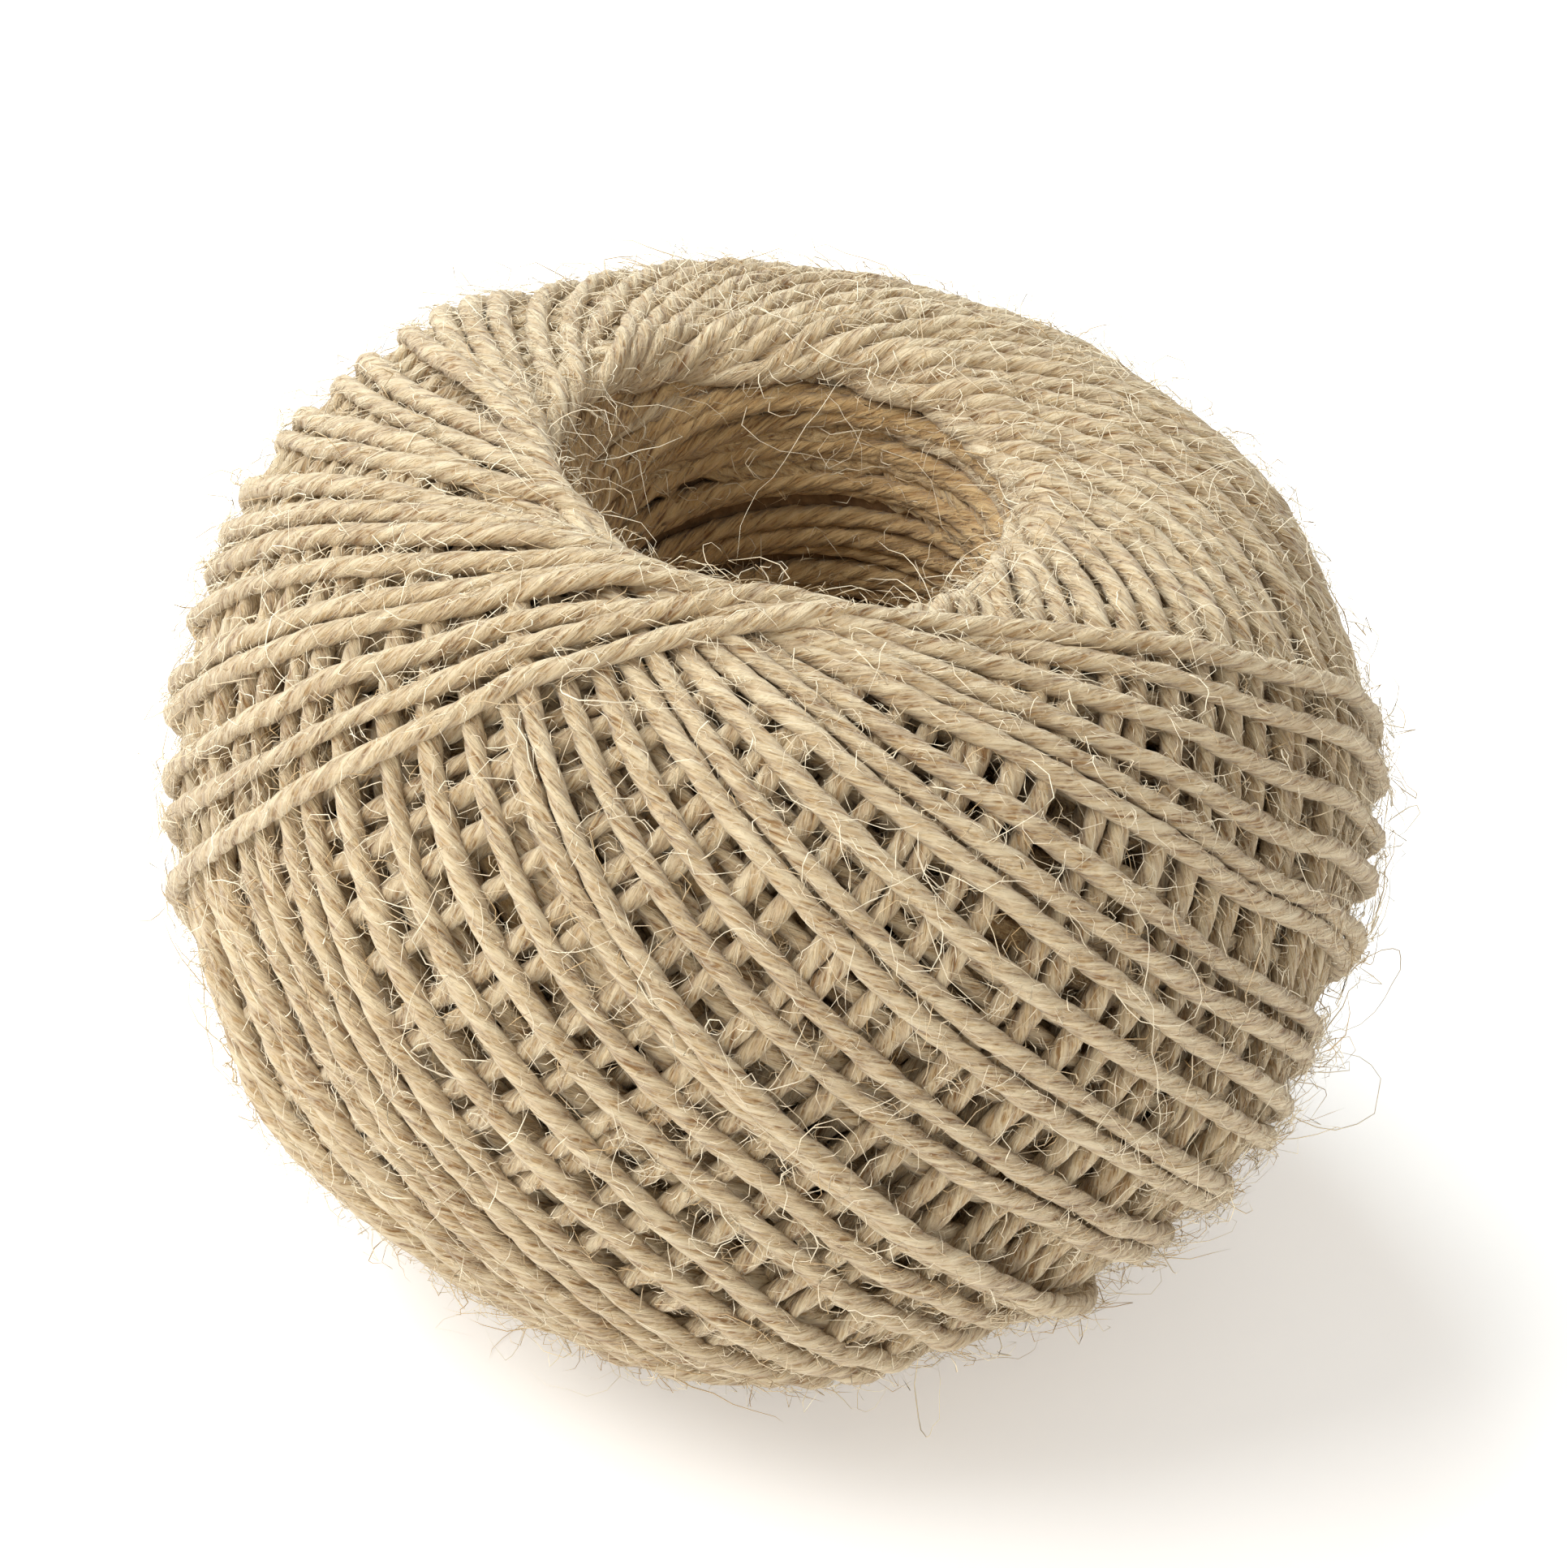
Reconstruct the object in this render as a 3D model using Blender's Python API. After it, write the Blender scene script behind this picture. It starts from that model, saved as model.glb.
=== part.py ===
"""A ball of jute string, wound by machine round an open centre hole.

The ball is one closed solid: a turned ring with a full, rounded side, rims that roll over into the centre
hole, and a small flat round the lower rim that it rests on. Low crossing ridges on its side are the main
twists of the winding. Every turn of the string is a loop whose plane leans past the hole's rim at the top
and past the opposite rim at the bottom, so the ridges follow such loops.

Sizes are in metres, +Z is up, and the origin is the middle of the base.
"""

from math import acos, cos, pi, sin, tau

import bmesh
import bpy
from mathutils import Vector

# The whole ball
BALL_RADIUS = 0.0475
BALL_HEIGHT = 0.072
MID_HEIGHT = BALL_HEIGHT / 2

# The centre hole, and the rims that roll into it
HOLE_RADIUS = 0.013
RIM_DEPTH = 0.013
TOP_RIM_RADIUS = 0.0175

# The flat that it rests on
FLAT_INNER_RADIUS = 0.017
FLAT_OUTER_RADIUS = 0.022

# How square the shoulders are: 2 is an ellipse, and more is fuller
UPPER_FULLNESS = 2.35
LOWER_FULLNESS = 2.0

# The main twists
TWISTS_AROUND = 12
LATE_TWIST_DEPTH = 0.0012
EARLY_TWIST_DEPTH = 0.0007
TWIST_FADE_START = 0.45
TWIST_FADE_END = 0.85

# How finely the solid is cut into faces
STEPS_AROUND = 96
QUARTER_STEPS = 15
RIM_STEPS = 6
WALL_STEPS = 3
SEAM_MERGE = 1e-6

STRING_COLOUR = (0.515, 0.397, 0.246, 1.0)
STRING_ROUGHNESS = 0.85


def clear_scene() -> None:
    """Remove every object that the new file starts with."""
    for scene_object in list(bpy.data.objects):
        bpy.data.objects.remove(scene_object, do_unlink=True)


def rounded_corner(
    centre: tuple[float, float],
    reach: tuple[float, float],
    fullness: float,
    steps: int,
) -> list[tuple[float, float]]:
    """Work out a quarter of a superellipse, from its side to its top or bottom.

    Args:
        centre: The radius and height of the corner's centre.
        reach: How far the corner extends from its centre, in radius and in height, either way.
        fullness: The superellipse's exponent.
        steps: The number of straight sections.

    Returns:
        Pairs of radius and height, with the first beside the centre and the last above or below it.
    """
    points = []
    for step in range(steps + 1):
        angle = step / steps * pi / 2
        across = max(cos(angle), 0.0) ** (2 / fullness)
        along = sin(angle) ** (2 / fullness)
        points.append((centre[0] + reach[0] * across, centre[1] + reach[1] * along))
    return points


def ball_outline() -> list[tuple[float, float]]:
    """Work out the closed outline that the ball is turned from.

    Returns:
        Pairs of radius and height, from the inner edge of the flat, out and up the side, and down the hole.
    """
    lower_side = rounded_corner(
        (FLAT_OUTER_RADIUS, MID_HEIGHT),
        (BALL_RADIUS - FLAT_OUTER_RADIUS, -MID_HEIGHT),
        LOWER_FULLNESS,
        QUARTER_STEPS,
    )
    upper_side = rounded_corner(
        (TOP_RIM_RADIUS, MID_HEIGHT),
        (BALL_RADIUS - TOP_RIM_RADIUS, BALL_HEIGHT - MID_HEIGHT),
        UPPER_FULLNESS,
        QUARTER_STEPS,
    )
    wall_top = BALL_HEIGHT - RIM_DEPTH
    top_rim = rounded_corner(
        (TOP_RIM_RADIUS, wall_top), (HOLE_RADIUS - TOP_RIM_RADIUS, RIM_DEPTH), 2.0, RIM_STEPS
    )
    lower_rim = rounded_corner(
        (FLAT_INNER_RADIUS, RIM_DEPTH), (HOLE_RADIUS - FLAT_INNER_RADIUS, -RIM_DEPTH), 2.0, RIM_STEPS
    )
    wall = [
        (HOLE_RADIUS, wall_top + (RIM_DEPTH - wall_top) * step / WALL_STEPS)
        for step in range(1, WALL_STEPS)
    ]
    side = lower_side[::-1] + upper_side[1:]
    hole = top_rim[-2::-1] + wall + lower_rim
    return side + hole


def loop_lag(radius: float, height: float) -> tuple[float, float]:
    """Find where a leaning loop of string passes a place on the side.

    A loop through the ball's middle keeps height above the middle / radius in step with the cosine of the
    angle from its highest point.

    Args:
        radius: The distance from the hole's axis.
        height: The height above the base.

    Returns:
        The angle between the loop's highest point and the place, and how near a rim the place is, where 0
        is halfway up the ball and 1 is at the rim.
    """
    lean = (BALL_HEIGHT - MID_HEIGHT) / TOP_RIM_RADIUS
    nearness = (height - MID_HEIGHT) / radius / lean
    return acos(max(-1.0, min(1.0, nearness))), abs(nearness)


def twist_depth(place: Vector) -> float:
    """Find how far the side lies below the tops of the twists.

    Args:
        place: A point of the turned side.

    Returns:
        The depth in metres, which is none at the rims.
    """
    radius = place.to_2d().length
    lag, nearness = loop_lag(radius, place.z)
    azimuth = Vector((1.0, 0.0)).angle_signed(place.to_2d(), 0.0)
    late = 0.5 - 0.5 * cos(TWISTS_AROUND * (azimuth + lag))
    early = 0.5 - 0.5 * cos(TWISTS_AROUND * (azimuth - lag))
    fade = (TWIST_FADE_END - nearness) / (TWIST_FADE_END - TWIST_FADE_START)
    return max(0.0, min(1.0, fade)) * (LATE_TWIST_DEPTH * late + EARLY_TWIST_DEPTH * early)


def turn_outline(mesh: bmesh.types.BMesh, outline: list[tuple[float, float]]) -> None:
    """Turn a closed outline once round the hole's axis.

    Args:
        mesh: The mesh that receives the faces.
        outline: Pairs of radius and height.
    """
    points = [mesh.verts.new((radius, 0.0, height)) for radius, height in outline]
    edges = [mesh.edges.new((points[i - 1], points[i])) for i in range(len(points))]
    bmesh.ops.spin(
        mesh,
        geom=points + edges,
        cent=(0.0, 0.0, 0.0),
        axis=(0.0, 0.0, 1.0),
        angle=tau,
        steps=STEPS_AROUND,
        use_duplicate=False,
    )
    bmesh.ops.remove_doubles(mesh, verts=mesh.verts[:], dist=SEAM_MERGE)
    bmesh.ops.recalc_face_normals(mesh, faces=mesh.faces[:])


def press_twists(mesh: bmesh.types.BMesh) -> None:
    """Sink the side between the main twists.

    Args:
        mesh: The turned ball.
    """
    mesh.normal_update()
    moves = [
        (point, point.normal * twist_depth(point.co))
        for point in mesh.verts
        if point.co.to_2d().length > FLAT_OUTER_RADIUS + SEAM_MERGE
    ]
    for point, move in moves:
        point.co -= move


def string_material() -> bpy.types.Material:
    """Make the string's plain material.

    Returns:
        The material.
    """
    material = bpy.data.materials.new("jute_string")
    material.use_nodes = True
    surface = material.node_tree.nodes["Principled BSDF"]
    surface.inputs["Base Color"].default_value = STRING_COLOUR
    surface.inputs["Roughness"].default_value = STRING_ROUGHNESS
    surface.inputs["Metallic"].default_value = 0.0
    return material


def make_string_ball() -> bpy.types.Object:
    """Make the wound ball.

    Returns:
        The ball's object, which stands on the ground with the hole upright.
    """
    mesh = bmesh.new()
    turn_outline(mesh, ball_outline())
    press_twists(mesh)
    data = bpy.data.meshes.new("string_ball")
    mesh.to_mesh(data)
    mesh.free()
    data.shade_smooth()
    data.materials.append(string_material())
    ball = bpy.data.objects.new("string_ball", data)
    bpy.context.scene.collection.objects.link(ball)
    return ball


def main() -> None:
    """Build the whole object."""
    clear_scene()
    make_string_ball()


if __name__ == "__main__":
    main()
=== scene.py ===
"""A ball of jute string, wound by machine round an open centre hole, turn by turn.

The string is laid as the winder lays it. Every turn is a leaning loop that passes close to the centre hole at
the top and at the bottom, and each next turn starts a little further round. A map of what is already wound
tells how high a new turn has to ride over the older ones. Sizes are in metres.
"""

from __future__ import annotations

import logging
from collections.abc import Callable
from dataclasses import dataclass, field
from enum import Enum
from math import cos, pi, radians, sin, sqrt, tan, tau

import bmesh
import bpy
import numpy as np
from mathutils import Matrix, Vector


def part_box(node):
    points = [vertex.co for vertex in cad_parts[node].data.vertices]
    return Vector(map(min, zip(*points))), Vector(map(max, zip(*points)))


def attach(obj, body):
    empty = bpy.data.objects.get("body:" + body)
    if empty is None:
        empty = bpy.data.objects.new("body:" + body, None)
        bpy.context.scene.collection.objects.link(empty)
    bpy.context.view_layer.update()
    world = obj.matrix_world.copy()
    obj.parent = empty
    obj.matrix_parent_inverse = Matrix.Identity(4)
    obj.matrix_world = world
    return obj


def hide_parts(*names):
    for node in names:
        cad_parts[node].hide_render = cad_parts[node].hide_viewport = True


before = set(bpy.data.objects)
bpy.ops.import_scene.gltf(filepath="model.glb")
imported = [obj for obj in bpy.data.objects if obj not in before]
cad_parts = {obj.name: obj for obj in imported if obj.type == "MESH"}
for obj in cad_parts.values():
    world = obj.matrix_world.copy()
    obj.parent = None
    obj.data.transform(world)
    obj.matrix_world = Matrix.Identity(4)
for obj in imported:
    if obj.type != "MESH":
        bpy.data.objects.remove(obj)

log = logging.getLogger("string_ball")

BALL_NODE = "string_ball"
BODY = "root"
FLAT_MAP = "OFBake"
MM = 0.001
Arrays = tuple[np.ndarray, np.ndarray]
Pair = tuple[float, float]
Colour = tuple[float, float, float, float]


def travelled(points: np.ndarray) -> np.ndarray:
    """Add up the distance along a line of points, from zero."""
    return np.concatenate([[0.0], np.cumsum(np.linalg.norm(np.diff(points, axis=0), axis=1))])


def unit(vectors: np.ndarray) -> np.ndarray:
    """Scale vectors to a length of one."""
    return vectors / np.linalg.norm(vectors, axis=-1, keepdims=True)


def smooth_noise(rng: np.random.Generator, count: int, period: float) -> np.ndarray:
    """Make a smooth random line that wanders about zero.

    Args:
        rng: The random source.
        count: The number of values.
        period: How many values lie between two free knots.

    Returns:
        The values, with a spread of about one.
    """
    knots = rng.normal(size=int(count / period) + 4)
    at = np.arange(count) / period
    low = at.astype(int)
    part = 0.5 - 0.5 * np.cos(pi * (at - low))
    return knots[low] * (1 - part) + knots[low + 1] * part


# ---- The wound form ----


@dataclass
class BallForm:
    """The outside of the finished ball, with the lines along which its string is piled up."""

    radius: float
    height: float
    rim_radius: float = 19.7 * MM
    hole_radius: float = 15.6 * MM
    rim_depth: float = 16.0 * MM
    foot_radius: float = 15.6 * MM
    upper_fullness: float = 2.2
    lower_fullness: float = 1.84
    rim_fullness: float = 2.0
    heart_radius: float = 31.0 * MM
    swell: float = 2.0 * MM
    lower_swell: float = 0.3 * MM
    swell_azimuth: float = radians(195)
    swell_power: float = 0.7
    corner_steps: int = 120
    wall_steps: int = 40
    length: float = field(init=False)

    def __post_init__(self) -> None:
        """Work out the closed outline and the tables that places are read from."""
        self.mid = self.height / 2
        outline = self._closed_outline()
        self.outline = np.vstack([outline, outline[:1]])
        self.table = travelled(self.outline)
        self.length = float(self.table[-1])
        self.away = unit(self.outline - np.array([self.heart_radius, self.mid]))
        side = slice(0, 2 * self.corner_steps - 1)
        self.side_table = self.table[side]
        self.side_ratio = (self.outline[side, 1] - self.mid) / self.outline[side, 0]

    def _corner(self, centre: Pair, reach: Pair, fullness: float) -> np.ndarray:
        """Work out a quarter of a superellipse, from beside its centre to above or below it.

        Args:
            centre: The radius and height of its centre.
            reach: Its signed extent in radius and in height.
            fullness: Its exponent.

        Returns:
            Rows of radius and height.
        """
        angle = np.linspace(0, pi / 2, self.corner_steps)
        across = np.clip(np.cos(angle), 0, None) ** (2 / fullness)
        along = np.sin(angle) ** (2 / fullness)
        return np.column_stack([centre[0] + reach[0] * across, centre[1] + reach[1] * along])

    def _closed_outline(self) -> np.ndarray:
        """Work out the outline, from the foot out, up the side, over the upper rim and down the hole.

        Returns:
            Rows of radius and height.
        """
        half = self.mid
        foot = (self.foot_radius, half)
        rim = (self.rim_radius, half)
        lower = self._corner(foot, (self.radius - self.foot_radius, -half), self.lower_fullness)
        upper = self._corner(rim, (self.radius - self.rim_radius, half), self.upper_fullness)
        inwards = self.hole_radius - self.rim_radius
        edge = (self.rim_radius, self.height - self.rim_depth)
        top = self._corner(edge, (inwards, self.rim_depth), self.rim_fullness)
        inwards = self.hole_radius - self.foot_radius
        edge = (self.foot_radius, self.rim_depth)
        base = self._corner(edge, (inwards, -self.rim_depth), self.rim_fullness)
        wall = top[0] + (base[0] - top[0]) * np.linspace(0, 1, self.wall_steps)[1:-1, None]
        return np.vstack([lower[::-1], upper[1:], top[::-1][1:], wall, base[:-1]])

    def along_at_ratio(self, ratio: np.ndarray) -> np.ndarray:
        """Find the places on the side where height above the middle / radius has the given values."""
        return np.interp(ratio, self.side_ratio, self.side_table)

    def build_up(self, azimuth: np.ndarray, height: np.ndarray) -> np.ndarray:
        """Find how much thicker the ball is where the last turns lie, high on one side and low opposite.

        Args:
            azimuth: Angles round the hole's axis.
            height: Heights over the floor.

        Returns:
            Lifts in metres.
        """
        share = np.clip((height - self.mid) / self.mid, -1, 1)
        swell = np.where(share > 0, self.swell, self.lower_swell) * np.sign(share)
        return swell * np.abs(share) ** self.swell_power * np.cos(azimuth - self.swell_azimuth)

    def place(self, azimuth: np.ndarray, along: np.ndarray, lift: np.ndarray) -> Arrays:
        """Find points over or under the surface, and the directions out of the ball there.

        Args:
            azimuth: Angles round the hole's axis.
            along: Distances along the outline.
            lift: Heights over the surface.

        Returns:
            The points and the outward unit vectors.
        """
        along = np.mod(along, self.length)
        out = np.interp(along, self.table, self.away[:, 0])
        up = np.interp(along, self.table, self.away[:, 1])
        lift = lift + self.build_up(azimuth, np.interp(along, self.table, self.outline[:, 1]))
        radius = np.interp(along, self.table, self.outline[:, 0]) + out * lift
        height = np.interp(along, self.table, self.outline[:, 1]) + up * lift
        cosine, sine = np.cos(azimuth), np.sin(azimuth)
        points = np.stack([cosine * radius, sine * radius, height], axis=-1)
        outward = np.stack([cosine * out, sine * out, up], axis=-1)
        return points, unit(outward)

    def radius_at(self, along: np.ndarray) -> np.ndarray:
        """Find how far places along the outline are from the hole's axis."""
        return np.interp(np.mod(along, self.length), self.table, self.outline[:, 0])


@dataclass
class PileMap:
    """How high the string is piled up, in a grid of azimuth and distance along the outline."""

    form: BallForm
    columns: int = 640
    row_size: float = 0.42 * MM
    tight_radius: float = 18.0 * MM
    least_give: float = 0.3
    side_give: float = 1.5
    feelers: tuple[float, ...] = (-0.85, -0.6, -0.3, 0.0, 0.3, 0.6, 0.85)
    tick: float = 0.24 * MM
    smoothing: float = 2.5 * MM
    heights: np.ndarray = field(init=False)

    def __post_init__(self) -> None:
        """Start with nothing wound."""
        self.rows = int(self.form.length / self.row_size)
        self.heights = np.zeros((self.rows, self.columns))

    def _cells(self, azimuth: np.ndarray, along: np.ndarray) -> Arrays:
        """Find the grid cells that hold some places.

        Args:
            azimuth: Angles round the hole's axis.
            along: Distances along the outline.

        Returns:
            The cells' rows and columns.
        """
        row = np.floor(along / self.form.length * self.rows).astype(int) % self.rows
        column = np.floor(azimuth / tau * self.columns).astype(int) % self.columns
        return row, column

    def give(self, along: np.ndarray) -> np.ndarray:
        """Find how much of their thickness turns keep, which is less near the rims, where they are pressed.

        Args:
            along: Distances along the outline.

        Returns:
            Shares of the thickness.
        """
        around = self.form.radius_at(along)
        steep = np.sqrt(np.clip(1 - (self.tight_radius / around) ** 2, 0, 1))
        return np.clip(self.side_give * steep * around / self.form.radius, self.least_give, 1.0)

    def support(self, azimuth: np.ndarray, along: np.ndarray, radius: float) -> np.ndarray:
        """Find how high the middle of a string has to lie to clear the pile below it.

        Args:
            azimuth: Angles round the hole's axis, one for each point of the string.
            along: Distances along the outline.
            radius: The string's radius, as pressed.

        Returns:
            Heights in the pile.
        """
        around = self.form.radius_at(along)
        run = unit(np.column_stack([np.gradient(azimuth) * around, np.gradient(along)]))
        thick = radius * self.give(along)
        best = thick.copy()
        for share in self.feelers:
            side = share * radius
            row, column = self._cells(azimuth - run[:, 1] * side / around, along + run[:, 0] * side)
            best = np.maximum(best, self.heights[row, column] + thick * sqrt(1 - share * share))
        return best

    def press(self, azimuth: np.ndarray, along: np.ndarray, height: np.ndarray, radius: float) -> None:
        """Add a laid string to the pile.

        Args:
            azimuth: Angles round the hole's axis, one for each point of the string.
            along: Distances along the outline.
            height: Heights of the string's middle in the pile.
            radius: The string's radius, as pressed.
        """
        ticks = np.arange(-radius, radius, self.tick)
        across, up = np.meshgrid(ticks, ticks)
        inside = across**2 + up**2 < radius**2
        across, up = across[inside], up[inside]
        cap = np.sqrt(radius**2 - across**2 - up**2) * self.give(along)[:, None]
        around = self.form.radius_at(along)
        row, column = self._cells(azimuth[:, None] + across / around[:, None], along[:, None] + up)
        np.maximum.at(self.heights, (row, column), height[:, None] + cap)

    def level(self) -> np.ndarray:
        """Find the pile's mean height all round, smoothed.

        Returns:
            One height for each row of the grid.
        """
        mean = self.heights.mean(axis=1)
        reach = int(self.smoothing / self.row_size)
        wide = np.concatenate([mean[-2 * reach :], mean, mean[: 2 * reach]])
        window = np.hanning(2 * reach + 1)
        smooth = np.convolve(wide, window / window.sum(), mode="same")
        return smooth[2 * reach : -2 * reach]


# ---- The winding ----


class Layer(Enum):
    """How deep a run of turns lies, which sets how finely it is modelled."""

    OUTER = "outer"
    MIDDLE = "middle"
    INNER = "inner"
    DEEP = "deep"


@dataclass(frozen=True)
class Fineness:
    """How finely a layer's string is cut into faces, and whether its plies are modelled."""

    sides: int
    step: float
    plied: bool


FINENESS = {
    Layer.OUTER: Fineness(9, 1.3 * MM, True),
    Layer.MIDDLE: Fineness(9, 2.0 * MM, True),
    Layer.INNER: Fineness(6, 3.4 * MM, False),
    Layer.DEEP: Fineness(5, 5.0 * MM, False),
}


@dataclass(frozen=True)
class LayerPlan:
    """How one layer of turns is laid. A tuck is a turn's reach into the hole, in millimetres."""

    name: str
    layer: Layer
    first_tuck: float
    last_tuck: float
    lean_spread: float
    turns: int = 55
    tuck_shares: tuple[float, ...] = (0, 0.5, 0.72, 1)

    def tucks(self) -> np.ndarray:
        """List every turn's reach into the hole in metres, which lessens towards the layer's end."""
        steps = [self.first_tuck, self.first_tuck, 0.5 * (self.first_tuck + self.last_tuck), self.last_tuck]
        return np.interp(np.linspace(0, 1, self.turns), self.tuck_shares, steps) * MM


DEEP_PLAN = LayerPlan("deep", Layer.DEEP, 13.0, 12.0, radians(2.5))
INNER_PLAN = LayerPlan("inner", Layer.INNER, 10.0, 8.0, radians(2.0))
MIDDLE_PLAN = LayerPlan("middle", Layer.MIDDLE, 6.5, 4.0, radians(1.2))
OUTER_PLAN = LayerPlan("outer", Layer.OUTER, 4.5, -2.0, radians(0.8))


@dataclass
class Route:
    """Where a length of string is laid: round the ball, along its outline and up the pile."""

    azimuth: np.ndarray
    along: np.ndarray
    height: np.ndarray
    tone: np.ndarray


@dataclass
class Strand:
    """A laid length of string: its middle line, the ways out of the ball, its thickness and its twist."""

    middle: np.ndarray
    outward: np.ndarray
    radius: np.ndarray
    along: np.ndarray
    tone: np.ndarray

    def frames(self) -> tuple[np.ndarray, np.ndarray, np.ndarray]:
        """Work out the directions that the string's cross-sections are drawn in.

        Returns:
            Unit vectors along the string, out of the ball, and across both.
        """
        run = unit(np.gradient(self.middle, axis=0))
        out = unit(self.outward - run * np.sum(self.outward * run, axis=1, keepdims=True))
        return run, out, np.cross(run, out)

    def part(self, first: int, last: int) -> Strand:
        """Cut out a shorter length, from the first point that it keeps to the first that it leaves."""
        cut = slice(first, last)
        return Strand(self.middle[cut], self.outward[cut], self.radius[cut], self.along[cut], self.tone[cut])


@dataclass
class Winder:
    """The winder's settings, and the winding that they give."""

    form: BallForm
    string_radius: float = 0.97 * MM
    floor_clearance: float = 1.12
    pressed: float = 0.84
    turn_angle: float = radians(6.6)
    last_azimuth: float = radians(286)
    side_lean: float = radians(45.5)
    lean_blend: float = 2.1
    tuck_start: float = 0.72
    pairing: float = 0.3
    wall_low_side: float = radians(200)
    curve_radius: float = 42.0 * MM
    crest: float = 2.7 * MM
    loop_points: int = 721
    ring_points: int = 361
    stray: float = 0.22
    pairing_spread: float = 0.5
    pairing_period: float = 6
    tuck_spread: float = 0.9 * MM
    wobble: float = 0.35 * MM
    wobble_period: float = 60
    swing_range_mm: Pair = (2.5, 4.0)
    low_side_spread: float = 0.35
    unevenness: float = 0.06
    lump_periods: tuple[float, ...] = (4, 20)
    pull_rounds: int = 70
    smooth_rounds: int = 2
    seed: int = 11

    def __post_init__(self) -> None:
        """Start an empty pile."""
        self.rng = np.random.default_rng(self.seed)
        self.pile = PileMap(self.form)

    def _loop(self, start: float, end: float, lean: float, tuck: float) -> Arrays:
        """Work out one turn's route, from its lowest point over its highest back to its lowest.

        Args:
            start: The azimuth of the turn's high point, as the turn starts.
            end: The same, as it ends.
            lean: The angle that the string climbs at, halfway up the ball.
            tuck: How far past the rims' crests the turn reaches into the hole, or short of them if negative.

        Returns:
            Azimuths and distances along the outline.
        """
        lag = np.linspace(-pi, pi, self.loop_points)
        rise = np.cos(lag)
        near = np.abs(rise)
        top_slope = self.form.side_ratio[-1]
        slope = tan(lean) + (top_slope - tan(lean)) * near**self.lean_blend
        over = np.sign(rise) * tuck * np.clip((near - self.tuck_start) / (1 - self.tuck_start), 0, 1) ** 2
        along = self.form.along_at_ratio(rise * slope) + over
        azimuth = lag + np.linspace(start, end, len(lag))
        return azimuth, along

    def _even(self, azimuth: np.ndarray, along: np.ndarray, step: float) -> Arrays:
        """Space a route's points evenly.

        Args:
            azimuth: Angles round the hole's axis.
            along: Distances along the outline.
            step: The wanted spacing.

        Returns:
            The same route with even spacing.
        """
        points, _ = self.form.place(azimuth, along, np.zeros(len(along)))
        run = travelled(points)
        count = int(round(run[-1] / step)) + 1
        at = np.linspace(0, run[-1], count)
        return np.interp(at, run, azimuth), np.interp(at, run, along)

    def _taut(self, support: np.ndarray, step: float, start: float | None) -> np.ndarray:
        """Pull a string tight over what is below it.

        Args:
            support: The least height at each point.
            step: The spacing of the points.
            start: The height that the string comes in at, if it is fixed.

        Returns:
            The string's heights.
        """
        height = support.copy()
        if start is not None:
            height[0] = start
        sag = step * step / (2 * self.curve_radius)
        for _ in range(self.pull_rounds):
            middle = 0.5 * (height[:-2] + height[2:]) - sag
            height[1:-1] = np.maximum(support[1:-1], middle)
        for _ in range(self.smooth_rounds):
            height[1:-1] = 0.25 * height[:-2] + 0.5 * height[1:-1] + 0.25 * height[2:]
        return height

    def _lay(
        self, azimuth: np.ndarray, along: np.ndarray, layer: Layer, start: float | None, closed: bool
    ) -> Route:
        """Lay one turn on the pile.

        Args:
            azimuth: Angles round the hole's axis.
            along: Distances along the outline.
            layer: How finely it is modelled.
            start: The height that the string comes in at, if it is fixed.
            closed: Whether its ends meet.

        Returns:
            The laid turn.
        """
        step = FINENESS[layer].step
        pressed = self.string_radius * self.pressed
        azimuth, along = self._even(azimuth, along, step)
        height = self._taut(self.pile.support(azimuth, along, pressed), step, start)
        if closed:
            height[0] = height[-1] = 0.5 * (height[0] + height[-1])
        self.pile.press(azimuth, along, height, pressed)
        return Route(azimuth, along, height, np.full(len(azimuth), self.rng.random()))

    def wind(self, plan: LayerPlan, first_azimuth: float) -> Route:
        """Lay a layer of turns on the ball.

        Args:
            plan: What the layer is like.
            first_azimuth: The azimuth of the first turn's high point.

        Returns:
            The laid string's route.
        """
        tucks = plan.tucks()
        turns = len(tucks)
        count = np.arange(turns + 1)
        sway = 1 + self.pairing_spread * smooth_noise(self.rng, turns + 1, self.pairing_period)
        pair = self.pairing * sway * (-1.0) ** count
        stray = self.rng.normal(0, self.stray, turns + 1)
        starts = first_azimuth + self.turn_angle * (count + pair + stray)
        laid: list[Route] = []
        for turn in range(turns):
            lean = self.side_lean + self.rng.normal(0, plan.lean_spread)
            tuck = tucks[turn] + self.rng.normal(0, self.tuck_spread)
            azimuth, along = self._loop(starts[turn], starts[turn + 1], lean, tuck)
            wobble = smooth_noise(self.rng, len(azimuth), self.wobble_period) * self.wobble
            fade = np.sin(np.linspace(0, pi, len(azimuth))) ** 0.5
            azimuth = azimuth + wobble * fade / self.form.radius_at(along)
            height_in = float(laid[-1].height[-1]) if laid else None
            laid.append(self._lay(azimuth, along, plan.layer, height_in, False))
        columns = ("azimuth", "along", "height", "tone")
        return Route(*(np.concatenate([getattr(route, name)[:-1] for route in laid]) for name in columns))

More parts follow.
